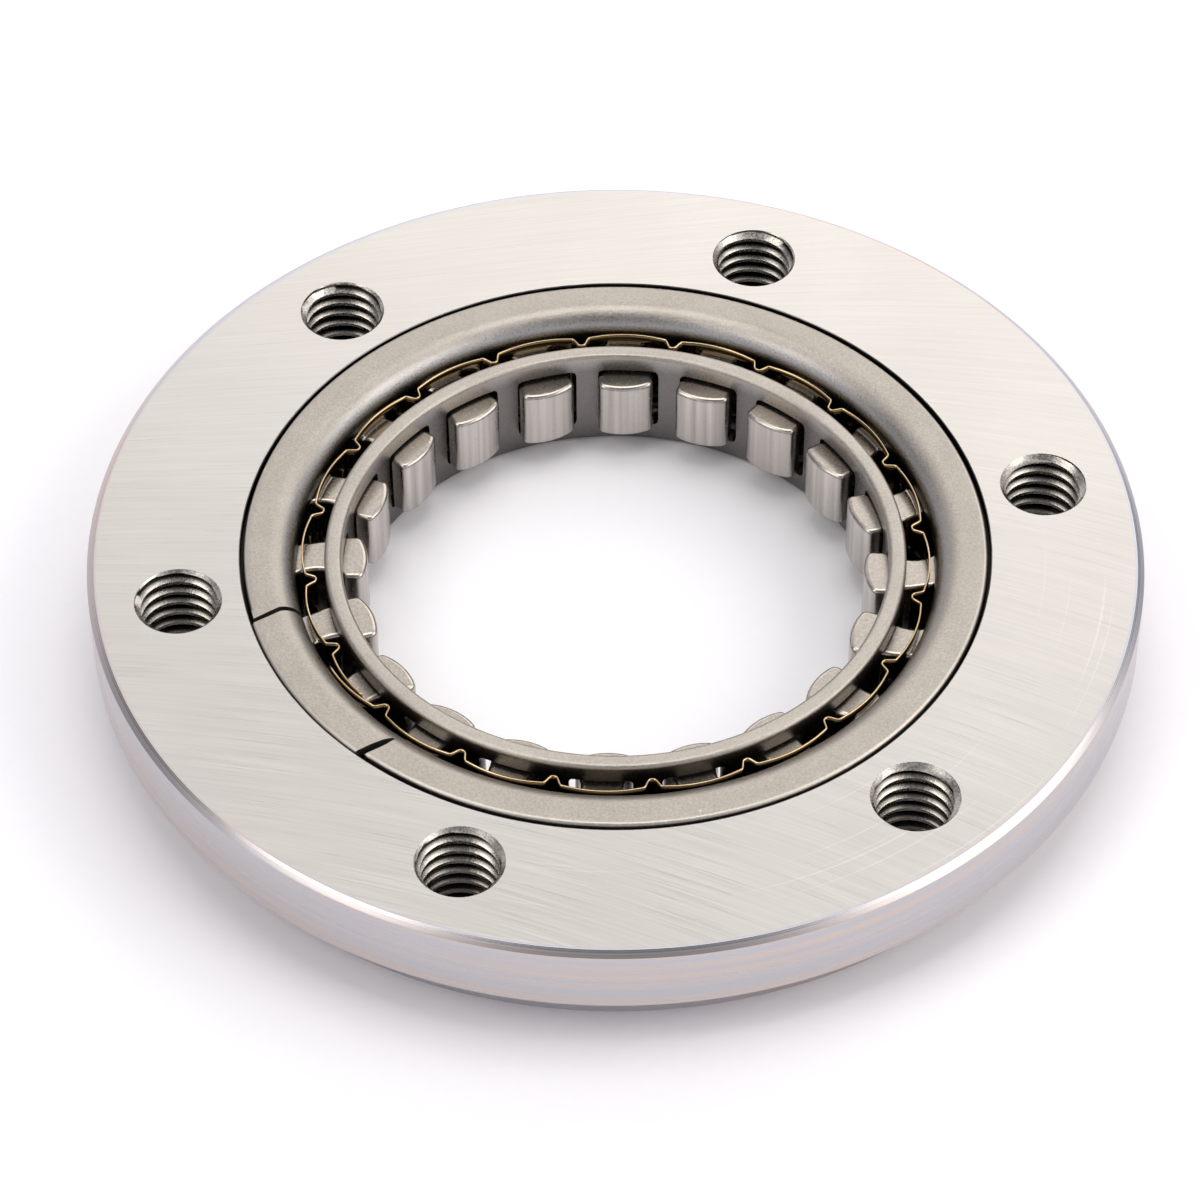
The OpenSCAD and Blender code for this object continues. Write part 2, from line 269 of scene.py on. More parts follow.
# ---------------------------------------------------------------- materials

# Sockets by number. Mix: factor 0, numbers 2 and 3, colours 6 and 7, its colour comes out at 2.
# Map Range: value 0, the range 1 to 2 that it comes from, the range 3 to 4 that it goes to.


def linear(code):
    """An sRGB hex colour as linear red, green, blue and alpha."""
    values = [int(code[i : i + 2], 16) / 255 for i in (1, 3, 5)]
    return tuple(v / 12.92 if v <= 0.04045 else ((v + 0.055) / 1.055) ** 2.4 for v in values) + (1,)


def per(spacing):
    """Texture scale for a pattern whose marks are this many millimetres apart."""
    return 1 / (spacing * MM)


def add(tree, kind, inputs=None, **settings):
    """Adds one node with its settings.

    An input is a value, a node whose first output is linked, or (node, output).
    """
    made = tree.nodes.new(kind)
    for key, value in settings.items():
        setattr(made, key, value)
    for key, value in (inputs or {}).items():
        if isinstance(value, bpy.types.Node):
            value = (value, 0)
        if isinstance(value, tuple) and isinstance(value[0], bpy.types.Node):
            tree.links.new(value[0].outputs[value[1]], made.inputs[key])
        else:
            made.inputs[key].default_value = value
    return made


def begun(name):
    """A new material, its emptied node tree, and the place on the clutch as an input."""
    material = bpy.data.materials.new(name)
    material.use_nodes = True
    tree = material.node_tree
    tree.nodes.clear()
    return material, tree, (add(tree, "ShaderNodeTexCoord"), "Object")


def as_metal(tree, colour, rough, relief, strength, depth):
    """Ends a metal: its colour, its roughness and a relief that is depth millimetres high."""
    inputs = {"Height": relief, "Strength": strength, "Distance": depth * MM}
    bump = add(tree, "ShaderNodeBump", inputs)
    inputs = {"Metallic": 1.0, "Base Color": colour, "Roughness": rough, "Normal": bump}
    shader = add(tree, "ShaderNodeBsdfPrincipled", inputs)
    add(tree, "ShaderNodeOutputMaterial", {"Surface": shader})


def round_axis(tree, here):
    """Distance from the clutch axis and the direction round it, in metres and radians."""
    flat = add(tree, "ShaderNodeVectorMath", {0: here, 1: (1, 1, 0)}, operation="MULTIPLY")
    away = add(tree, "ShaderNodeVectorMath", {0: flat}, operation="LENGTH")
    parts = add(tree, "ShaderNodeSeparateXYZ", {"Vector": here})
    course = add(tree, "ShaderNodeMath", {0: (parts, "Y"), 1: (parts, "X")}, operation="ARCTAN2")
    return (away, "Value"), course


def ground_flow(tree, here):
    """Coordinates that follow the grinding lines: x along them and y across.

    The lines are curves of equal y + 0.131 x - 6.98 x y + 1.745 x x in metres, in the camera's
    frame, which is turned from the first hole, as they lie on the photographed face.
    """
    inputs = {"Vector": here, "Angle": math.radians(HOLE_TURN)}
    turn = add(tree, "ShaderNodeVectorRotate", inputs, rotation_type="Z_AXIS")
    parts = add(tree, "ShaderNodeSeparateXYZ", {"Vector": turn})
    x, y = (parts, "X"), (parts, "Y")
    slope = add(tree, "ShaderNodeMath", {0: y, 1: -6.98, 2: 0.131}, operation="MULTIPLY_ADD")
    bend = add(tree, "ShaderNodeMath", {0: x, 1: 1.745, 2: slope}, operation="MULTIPLY_ADD")
    across = add(tree, "ShaderNodeMath", {0: x, 1: bend, 2: y}, operation="MULTIPLY_ADD")
    return add(tree, "ShaderNodeCombineXYZ", {"X": x, "Y": across})


def surface_ground_steel():
    """Hardened steel from a surface grinder: bright, fine near-parallel lines, a few scratches.

    Grit leaves lines 0.05 to 0.3 mm apart that run many millimetres; they give the eye long thin
    streaks and stretch the highlights across themselves.
    """
    material, tree, here = begun("surface_ground_steel")
    flow = ground_flow(tree, here)
    # 0.11 mm between fine lines, which run about 12 mm
    at = add(tree, "ShaderNodeMapping", {"Vector": flow, "Scale": (per(12), per(0.11), 1)})
    inputs = {"Vector": at, "Scale": 1.0, "Detail": 3.0, "Roughness": 0.6}
    fine = add(tree, "ShaderNodeTexNoise", inputs)
    # 0.3 mm between broad streaks, which run about 15 mm
    at = add(tree, "ShaderNodeMapping", {"Vector": flow, "Scale": (per(15), per(0.3), 1)})
    broad = add(tree, "ShaderNodeTexNoise", {"Vector": at, "Scale": 1.0, "Detail": 2.0})
    # the wheel cut a little lighter or deeper in patches 22 mm across
    cloud = add(tree, "ShaderNodeTexNoise", {"Vector": here, "Scale": per(22), "Detail": 2.0})
    lines = add(tree, "ShaderNodeMix", {0: 0.35, 2: fine, 3: broad}, data_type="FLOAT")
    shade = add(tree, "ShaderNodeMix", {0: 0.25, 2: lines, 3: cloud}, data_type="FLOAT")
    shade = add(tree, "ShaderNodeMapRange", {0: shade, 1: 0.28, 2: 0.72})
    inputs = {0: shade, 6: linear("#BAB6AF"), 7: linear("#D2CEC7")}
    steel = add(tree, "ShaderNodeMix", inputs, data_type="RGBA")
    # handling scratches: a few pale arcs round the bore, 0.05 to 0.1 mm wide and 44 degrees long
    away, course = round_axis(tree, here)
    at = add(tree, "ShaderNodeCombineXYZ", {"X": away, "Y": course})
    at = add(tree, "ShaderNodeMapping", {"Vector": at, "Scale": (per(0.22), 1.3, 1)})
    arcs = add(tree, "ShaderNodeTexNoise", {"Vector": at, "Scale": 1.0, "Detail": 0.0})
    arcs = add(tree, "ShaderNodeMapRange", {0: arcs, 1: 0.73, 2: 0.8, 3: 0.0, 4: 0.22})
    # they lie where it was held: over 18 mm out on the side 62 degrees clockwise of the first hole
    side = (math.cos(math.radians(-62)), math.sin(math.radians(-62)), 0)
    side = add(tree, "ShaderNodeVectorMath", {0: here, 1: side}, operation="DOT_PRODUCT")
    side = add(tree, "ShaderNodeMapRange", {0: (side, "Value"), 1: 18 * MM, 2: 26 * MM})
    scratch = add(tree, "ShaderNodeMath", {0: arcs, 1: side}, operation="MULTIPLY")
    inputs = {0: scratch, 6: (steel, 2), 7: linear("#F2EFEA")}
    colour = add(tree, "ShaderNodeMix", inputs, data_type="RGBA")
    rough = add(tree, "ShaderNodeMapRange", {0: fine, 1: 0.3, 2: 0.7, 3: 0.27, 4: 0.40})
    as_metal(tree, (colour, 2), rough, lines, 0.5, 0.006)
    return material


def turned_steel():
    """Lathe-turned steel on the rim and bevels: fine rings along the edge, a faint copper tint."""
    material, tree, here = begun("turned_steel")
    parts = add(tree, "ShaderNodeSeparateXYZ", {"Vector": here})
    away = add(tree, "ShaderNodeVectorMath", {0: here}, operation="LENGTH")
    at = add(tree, "ShaderNodeCombineXYZ", {"X": (away, "Value"), "Y": (parts, "Z")})
    # the tool leaves a ring every 0.12 mm on the rim and every 0.25 mm on the bevels
    at = add(tree, "ShaderNodeMapping", {"Vector": at, "Scale": (per(0.25), per(0.12), 1)})
    fine = add(tree, "ShaderNodeTexNoise", {"Vector": at, "Scale": 1.0, "Detail": 3.0})
    # coppery bands 0.75 mm apart, broken every 55 mm along the rim
    inputs = {"Vector": here, "Scale": (per(55), per(55), per(0.75))}
    at = add(tree, "ShaderNodeMapping", inputs)
    band = add(tree, "ShaderNodeTexNoise", {"Vector": at, "Scale": 1.0, "Detail": 2.0})
    band = add(tree, "ShaderNodeMapRange", {0: band, 1: 0.35, 2: 0.7})
    inputs = {0: band, 6: linear("#BDBDC3"), 7: linear("#CFC0B8")}
    colour = add(tree, "ShaderNodeMix", inputs, data_type="RGBA")
    rough = add(tree, "ShaderNodeMapRange", {0: fine, 1: 0.3, 2: 0.7, 3: 0.24, 4: 0.42})
    as_metal(tree, (colour, 2), rough, fine, 0.5, 0.008)
    return material


def honed_steel():
    """Honed steel of the race and recess: smooth, with fine lines round it, and darker, partly from
    oil and partly as painted shade.
    """
    material, tree, here = begun("honed_steel")
    # honing lines 0.11 mm apart, drawn round the bore and 1.6 mm long
    inputs = {"Vector": here, "Scale": (per(1.6), per(1.6), per(0.11))}
    at = add(tree, "ShaderNodeMapping", inputs)
    hone = add(tree, "ShaderNodeTexNoise", {"Vector": at, "Scale": 1.0, "Detail": 2.0})
    shade = add(tree, "ShaderNodeMapRange", {0: hone, 1: 0.35, 2: 0.7})
    inputs = {0: shade, 6: linear("#6E6B6A"), 7: linear("#8B8785")}
    steel = add(tree, "ShaderNodeMix", inputs, data_type="RGBA")
    # painted shade, near black, down in the recess: full from 9.8 to 10.3 mm up, and a fifth as
    # strong above 10.8 mm
    z = (add(tree, "ShaderNodeSeparateXYZ", {"Vector": here}), "Z")
    recess = add(tree, "ShaderNodeMapRange", {0: z, 1: 9.3 * MM, 2: 9.8 * MM})
    inputs = {0: z, 1: 10.3 * MM, 2: 10.8 * MM, 3: 1.0, 4: 0.2}
    mouth = add(tree, "ShaderNodeMapRange", inputs)
    painted_shade = add(tree, "ShaderNodeMath", {0: recess, 1: mouth}, operation="MULTIPLY")
    inputs = {0: painted_shade, 6: (steel, 2), 7: linear("#1E1B19")}
    colour = add(tree, "ShaderNodeMix", inputs, data_type="RGBA")
    rough = add(tree, "ShaderNodeMapRange", {0: hone, 1: 0.3, 2: 0.7, 3: 0.2, 4: 0.32})
    as_metal(tree, (colour, 2), rough, hone, 0.4, 0.004)
    return material


def tapped_steel():
    """Cut thread: bright torn crests, with painted shade in the roots and deep in the hole.

    root_depth is 0 on the crests and 1 in the roots of the thread.
    """
    material, tree, here = begun("tapped_steel")
    # tearing about 0.2 mm across
    inputs = {"Vector": here, "Scale": per(0.22), "Detail": 4.0, "Roughness": 0.7}
    torn = add(tree, "ShaderNodeTexNoise", inputs)
    shade = add(tree, "ShaderNodeMapRange", {0: torn, 1: 0.35, 2: 0.65})
    inputs = {0: shade, 6: linear("#A8A29A"), 7: linear("#D6D1C8")}
    steel = add(tree, "ShaderNodeMix", inputs, data_type="RGBA")
    # painted shade: darker in the roots, and more so from 8.5 mm down to 3 mm in the hole
    root = add(tree, "ShaderNodeAttribute", attribute_name="root_depth")
    z = (add(tree, "ShaderNodeSeparateXYZ", {"Vector": here}), "Z")
    low = add(tree, "ShaderNodeMapRange", {0: z, 1: 3 * MM, 2: 8.5 * MM, 3: 0.5, 4: 0.0})
    both = add(tree, "ShaderNodeMath", {0: (root, "Fac"), 1: low}, operation="ADD")
    painted_shade = add(tree, "ShaderNodeMapRange", {0: both, 1: 0.15, 2: 0.75})
    inputs = {0: painted_shade, 6: (steel, 2), 7: linear("#231F1B")}
    colour = add(tree, "ShaderNodeMix", inputs, data_type="RGBA")
    rough = add(tree, "ShaderNodeMapRange", {0: torn, 1: 0.3, 2: 0.7, 3: 0.14, 4: 0.34})
    as_metal(tree, (colour, 2), rough, torn, 0.6, 0.03)
    return material


def blasted_steel(name, low, high, bend, gap_shade, gap):
    """Bead-blasted sheet steel: warm matt grey with grains that glitter, and painted shade in the
    gap.

    The beads leave dimples about 0.1 mm across. They show as fine mottling and, where one faces
    the light, as a bright speck. Below the two heights in bend the grey is painted cooler, standing
    in for the cooler light on the bend, and pressing has left the metal smoother there. Low on the
    wall the colour is painted shade: a little darker, and darker still on the side that faces the
    ribbon spring, from the first distance from the clutch axis in gap to the second.
    """
    material, tree, here = begun(name)
    z = (add(tree, "ShaderNodeSeparateXYZ", {"Vector": here}), "Z")
    away, _ = round_axis(tree, here)
    # dimples are drawn 0.2 mm apart, two to three picture points
    inputs = {"Vector": here, "Scale": per(0.2), "Detail": 3.0, "Roughness": 0.75}
    dimples = add(tree, "ShaderNodeTexNoise", inputs)
    # handling marks a few millimetres across
    cloud = add(tree, "ShaderNodeTexNoise", {"Vector": here, "Scale": per(4), "Detail": 3.0})
    shade = add(tree, "ShaderNodeMix", {0: 0.2, 2: dimples, 3: cloud}, data_type="FLOAT")
    mottle = add(tree, "ShaderNodeMapRange", {0: shade, 1: 0.28, 2: 0.72})
    # a cooler grey is painted below the bend heights, standing in for the cooler light that falls
    # there
    inputs = {0: mottle, 6: linear("#92908E"), 7: linear("#B8B5B3")}
    painted_cool_light = add(tree, "ShaderNodeMix", inputs, data_type="RGBA")
    inputs = {0: mottle, 6: linear(low), 7: linear(high)}
    open_face = add(tree, "ShaderNodeMix", inputs, data_type="RGBA")
    above = add(tree, "ShaderNodeMapRange", {0: z, 1: bend[0] * MM, 2: bend[1] * MM})
    inputs = {0: above, 6: (painted_cool_light, 2), 7: (open_face, 2)}
    blasted = add(tree, "ShaderNodeMix", inputs, data_type="RGBA")
    # a painted highlight along the flange's rounded rim, strongest on its inner part, from a mesh
    # attribute
    rim_highlight = (add(tree, "ShaderNodeAttribute", attribute_name="rim_highlight"), "Fac")
    rim_highlight = add(tree, "ShaderNodeMapRange", {0: rim_highlight, 1: 0.1, 2: 0.9, 3: 0.0, 4: 0.45})
    inputs = {0: rim_highlight, 6: (blasted, 2), 7: linear("#E4DED4")}
    highlighted = add(tree, "ShaderNodeMix", inputs, data_type="RGBA")
    # painted shade on the wall: a darker grey, darker still towards the side that faces the ribbon
    # spring
    in_gap = add(tree, "ShaderNodeMapRange", {0: away, 1: gap[0] * MM, 2: gap[1] * MM})
    inputs = {0: in_gap, 6: linear("#7B7774"), 7: linear(gap_shade)}
    painted_wall_shade = add(tree, "ShaderNodeMix", inputs, data_type="RGBA")
    # the painted shade fades out between 8.6 and 10.1 mm up
    inputs = {0: z, 1: 8.6 * MM, 2: 10.1 * MM, 3: 1.0, 4: 0.0}
    painted_shade = add(tree, "ShaderNodeMapRange", inputs)
    inputs = {0: painted_shade, 6: (highlighted, 2), 7: (painted_wall_shade, 2)}
    with_wall_shade = add(tree, "ShaderNodeMix", inputs, data_type="RGBA")
    # pale spots 0.2 mm across on the flange's rim, in three of ten cells 1.4 mm wide
    cells = add(tree, "ShaderNodeTexVoronoi", {"Vector": here, "Scale": per(1.4)})
    inputs = {0: (cells, "Distance"), 1: 0.11, 2: 0.16, 3: 0.7, 4: 0.0}
    pale_spot = add(tree, "ShaderNodeMapRange", inputs)
    chosen = add(tree, "ShaderNodeSeparateColor", {"Color": (cells, "Color")})
    chosen = add(tree, "ShaderNodeMapRange", {0: chosen, 1: 0.7, 2: 0.71})
    on_rim = add(tree, "ShaderNodeMapRange", {0: away, 1: 30.4 * MM, 2: 30.8 * MM})
    pale_spot = add(tree, "ShaderNodeMath", {0: pale_spot, 1: chosen}, operation="MULTIPLY")
    pale_spot = add(tree, "ShaderNodeMath", {0: pale_spot, 1: on_rim}, operation="MULTIPLY")
    inputs = {0: pale_spot, 6: (with_wall_shade, 2), 7: linear("#E4DED4")}
    colour = add(tree, "ShaderNodeMix", inputs, data_type="RGBA")
    rough = add(tree, "ShaderNodeMapRange", {0: dimples, 1: 0.3, 2: 0.7, 3: 0.31, 4: 0.45})
    smooth = add(tree, "ShaderNodeMapRange", {0: above, 1: 0.0, 2: 1.0, 3: 0.8, 4: 1.0})
    rough = add(tree, "ShaderNodeMath", {0: rough, 1: smooth}, operation="MULTIPLY")
    as_metal(tree, (colour, 2), rough, dimples, 0.7, 0.04)
    return material


def tempered_strip():
    """Spring strip tempered to a light straw colour: gold cut edges, with painted shade on the
    faces.
    """
    material, tree, here = begun("tempered_strip")
    # rolling lines 0.14 mm apart along the strip
    inputs = {"Vector": here, "Scale": (per(7), per(7), per(0.14))}
    at = add(tree, "ShaderNodeMapping", inputs)
    rolled = add(tree, "ShaderNodeTexNoise", {"Vector": at, "Scale": 1.0, "Detail": 2.0})
    # temper colours drift over 3 mm
    cloud = add(tree, "ShaderNodeTexNoise", {"Vector": here, "Scale": per(3.3), "Detail": 2.0})
    shade = add(tree, "ShaderNodeMapRange", {0: cloud, 1: 0.35, 2: 0.65})
    inputs = {0: shade, 6: linear("#DEC69C"), 7: linear("#C8A97F")}
    edge = add(tree, "ShaderNodeMix", inputs, data_type="RGBA")
    # the faces' dark colour is painted shade
    shade = add(tree, "ShaderNodeMapRange", {0: rolled, 1: 0.35, 2: 0.65})
    inputs = {0: shade, 6: linear("#5A4C36"), 7: linear("#917D5A")}
    face = add(tree, "ShaderNodeMix", inputs, data_type="RGBA")
    # painted shade: the faces are dark, and only the cut edge, at 9.7 mm, keeps the straw colour
    z = (add(tree, "ShaderNodeSeparateXYZ", {"Vector": here}), "Z")
    cut = add(tree, "ShaderNodeMapRange", {0: z, 1: 9.67 * MM, 2: 9.69 * MM})
    inputs = {0: cut, 6: (face, 2), 7: (edge, 2)}
    colour = add(tree, "ShaderNodeMix", inputs, data_type="RGBA")
    rough = add(tree, "ShaderNodeMapRange", {0: rolled, 1: 0.3, 2: 0.7, 3: 0.12, 4: 0.2})
    as_metal(tree, (colour, 2), rough, rolled, 0.4, 0.005)
    return material


def tumbled_steel():
    """Drawn sprag steel, tumbled smooth: satin with soft streaks along the sprag, mottled ends."""
    material, tree, here = begun("tumbled_steel")
    # drawing lines 0.45 mm apart that run the length of the sprag
    inputs = {"Vector": here, "Scale": (per(0.45), per(0.45), per(25))}
    at = add(tree, "ShaderNodeMapping", inputs)
    drawn = add(tree, "ShaderNodeTexNoise", {"Vector": at, "Scale": 1.0, "Detail": 1.5})
    # tumbling dents about 0.3 mm across
    inputs = {"Vector": here, "Scale": per(0.33), "Detail": 3.0, "Roughness": 0.6}
    dents = add(tree, "ShaderNodeTexNoise", inputs)
    shade = add(tree, "ShaderNodeMix", {0: 0.12, 2: drawn, 3: dents}, data_type="FLOAT")
    shade = add(tree, "ShaderNodeMapRange", {0: shade, 1: 0.22, 2: 0.78})
    inputs = {0: shade, 6: linear("#A09A96"), 7: linear("#CDC8C1")}
    flank = add(tree, "ShaderNodeMix", inputs, data_type="RGBA")
    shade = add(tree, "ShaderNodeMapRange", {0: dents, 1: 0.25, 2: 0.75})
    inputs = {0: shade, 6: linear("#ABA297"), 7: linear("#C1B9AD")}
    sawn = add(tree, "ShaderNodeMix", inputs, data_type="RGBA")
    # the sawn ends, 2.9 mm or more from mid height, have no streaks and are a little warmer
    z = (add(tree, "ShaderNodeSeparateXYZ", {"Vector": here}), "Z")
    away = add(tree, "ShaderNodeMath", {0: z, 1: -WINDOW_MIDDLE * MM}, operation="ADD")
    away = add(tree, "ShaderNodeMath", {0: away}, operation="ABSOLUTE")
    ends = add(tree, "ShaderNodeMapRange", {0: away, 1: 2.8 * MM, 2: 2.9 * MM})
    inputs = {0: ends, 6: (flank, 2), 7: (sawn, 2)}
    colour = add(tree, "ShaderNodeMix", inputs, data_type="RGBA")
    rough = add(tree, "ShaderNodeMapRange", {0: dents, 1: 0.3, 2: 0.7, 3: 0.22, 4: 0.28})
    as_metal(tree, (colour, 2), rough, dents, 0.3, 0.002)
    return material


def seamless_paper():
    """White studio paper: matt, with a very faint fibre about 1 mm long."""
    material, tree, here = begun("seamless_paper")
    fibre = add(tree, "ShaderNodeTexNoise", {"Vector": here, "Scale": per(1.1), "Detail": 2.0})
    inputs = {0: fibre, 6: linear("#F7F6F9"), 7: linear("#FBFAFC")}
    colour = add(tree, "ShaderNodeMix", inputs, data_type="RGBA")
    inputs = {"Base Color": (colour, 2), "Metallic": 0.0, "Roughness": 0.9}
    inputs["Specular IOR Level"] = 0.1
    shader = add(tree, "ShaderNodeBsdfPrincipled", inputs)
    add(tree, "ShaderNodeOutputMaterial", {"Surface": shader})
    return material


# ---------------------------------------------------------------- housing

# The housing's finishes, by their number in its mesh
GROUND, TURNED, TAPPED, HONED = range(4)


def thread_radius(z, degrees):
    """Radius of the tapped hole's wall at a height and direction.

    A right-hand thread: the phase is z / pitch - direction / 360. The crest is flat for a quarter
    of the pitch, the root for a fifth, and the flanks run straight between. A cone opens both
    mouths, and the wall is whichever of cone and thread stands wider.
    """
    phase = (z / THREAD_PITCH - degrees / 360) % 1.0
    thread = np.interp(phase, THREAD_SHARES + [1], [CREST_R, CREST_R, ROOT_R, ROOT_R, CREST_R])
    cone = ROOT_R - np.minimum(TOP_Z - z, z)
    return np.maximum(thread, cone)


def holed_sector(number):
    """A sixth of both flat faces with the tapped hole between them, as three grids.

    Their columns start on the edge of the top sector, run straight to the hole's mouth, down the
    thread and out again to the edge of the bottom sector. Rows in the thread climb with the helix
    and are cut off at both mouths.
    """
    edges = []
    for (near, far), z in ((TOP_FACE, TOP_Z), (UNDERSIDE, 0.0)):
        edge = frame_round((-30, near), (30, far), 60, 8)[::-1]
        edge = np.concatenate([edge, edge[:1]])
        edges.append(polar(edge[:, 1], edge[:, 0], z))
    top, foot = edges
    course = np.degrees(np.unwrap(np.arctan2(top[:, 1], top[:, 0] - HOLE_R_CIRCLE)))
    course[-1] = course[0] + 360
    mouth_z = np.array([11, 10.93, 10.86, 10.78, 10.7, 10.6])[:, None] + 0 * course
    last_z = np.array([0.4, 0.3, 0.15, 0.0])[:, None] + 0 * course
    turns = np.arange(9, -2, -1)[:, None] + np.array(THREAD_SHARES[::-1])
    helix = (turns.ravel()[:, None] + course / 360) * THREAD_PITCH
    z = np.concatenate([mouth_z, np.clip(helix, last_z[0], mouth_z[-1]), last_z])
    bore = polar(thread_radius(z, course), course, z) + np.array([HOLE_R_CIRCLE, 0, 0])
    share = np.array([0, 0.3, 0.55, 0.75, 0.9])[:, None, None]
    top_rows = top + (bore[0] - top) * share
    foot_rows = foot + (bore[-1] - foot) * share[::-1]
    rows = (
        (np.concatenate([top_rows, bore[:1]]), GROUND),
        (bore, TAPPED),
        (np.concatenate([bore[-1:], foot_rows]), GROUND),
    )
    return [grid(turned(points, 60 * number), finish) for points, finish in rows]


def build_housing():
    """The housing: turned outside, ground faces, tapped holes, ground race and recess."""
    bevel, race_bevel, mouth_bevel = 0.5, 0.4, 0.05
    top_bevel_wide, top_bevel_high = 0.6, 0.45
    hole_mouth = 0.45
    outside = rounded(
        [
            (UNDERSIDE[1], 0),
            (REGISTER_R - bevel, 0),
            (REGISTER_R, bevel),
            (REGISTER_R, RIM_FOOT_Z),
            (RIM_R - bevel, RIM_FOOT_Z),
            (RIM_R, RIM_FOOT_Z + bevel),
            (RIM_R, TOP_Z - top_bevel_high),
            (RIM_R - top_bevel_wide, TOP_Z),
            (TOP_FACE[1], TOP_Z),
        ],
        radius=0.07,
    )
    inside = rounded(
        [
            (TOP_FACE[0], TOP_Z),
            (RECESS_R + mouth_bevel, TOP_Z),
            (RECESS_R, TOP_Z - mouth_bevel),
            (RECESS_R, RECESS_Z),
            (RACE_R + race_bevel, RECESS_Z),
            (RACE_R, RECESS_Z - race_bevel),
            (RACE_R, race_bevel),
            (RACE_R + race_bevel, 0),
            (UNDERSIDE[0], 0),
        ],
        radius=0.02,
    )
    columns = np.arange(360.0)
    grids = [spun(outside, columns, TURNED), spun(inside, columns, HONED)]
    for number in range(6):
        grids += holed_sector(number)
    finishes = [surface_ground_steel(), turned_steel(), tapped_steel(), honed_steel()]
    made = surface("ground_housing", grids, finishes)
    away, course, z = mesh_places(made)
    course -= np.radians(60 * np.round(np.degrees(course) / 60))
    from_hole = np.hypot(away * np.cos(course) - HOLE_R_CIRCLE, away * np.sin(course))
    depth = np.clip((from_hole - CREST_R) / (ROOT_R - CREST_R), 0, 1)
    depth[(z > TOP_Z - hole_mouth) | (z < hole_mouth)] = 0
    made.data.attributes.new("root_depth", "FLOAT", "POINT").data.foreach_set("value", depth)
    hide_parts("housing")
    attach(made, "housing")


# ---------------------------------------------------------------- cages


def pierced_patch(low, high, up, wall_r, window, shares):
    """One window's share of a cage wall: rings of points from the patch's edge to the window.

    Rays run from the window's middle to the patch's edge, in millimetres along the wall. The
    patch is a sprag's step wide, between the heights low and high, and window holds the two
    sides of the window in millimetres from the sprag.
    """
    half_step = STEP / 2
    edge = frame_round((-half_step, low), (half_step, high), round(STEP / COLUMN), up)
    middle = np.array([(window[0] + window[1]) / 2, WINDOW_MIDDLE])
    half = ((window[1] - window[0]) / 2, (WINDOW_HIGH - WINDOW_LOW) / 2)
    flat = np.stack([np.radians(edge[:, 0]) * wall_r, edge[:, 1]], -1)
    hole = middle + window_reach(flat - middle, half, 0.5)
    rings = flat + (hole - flat) * np.asarray(shares)[:, None, None]
    return np.degrees(rings[..., 0] / wall_r), rings[..., 1]


def slit_path(radius, start_r, start_angle, lean):
    """Direction of a slit's middle at each radius: it leans from the radius at its start."""
    lean = math.radians(lean)
    beyond = np.maximum(radius, start_r)
    return start_angle - np.degrees(lean - np.arcsin(start_r / beyond * math.sin(lean)))


def rim_shift(degrees, on_tab):
    """How far the flange's rim stands out, as on the photographed clutch.

    The drag tab between the slits stands 0.25 mm out. The rest of the rim is oval by 0.06 mm:
    0.06 cos 2(angle - 130).
    """
    return np.where(on_tab, 0.25, 0.06 * np.cos(np.radians(2 * (degrees - 130))))


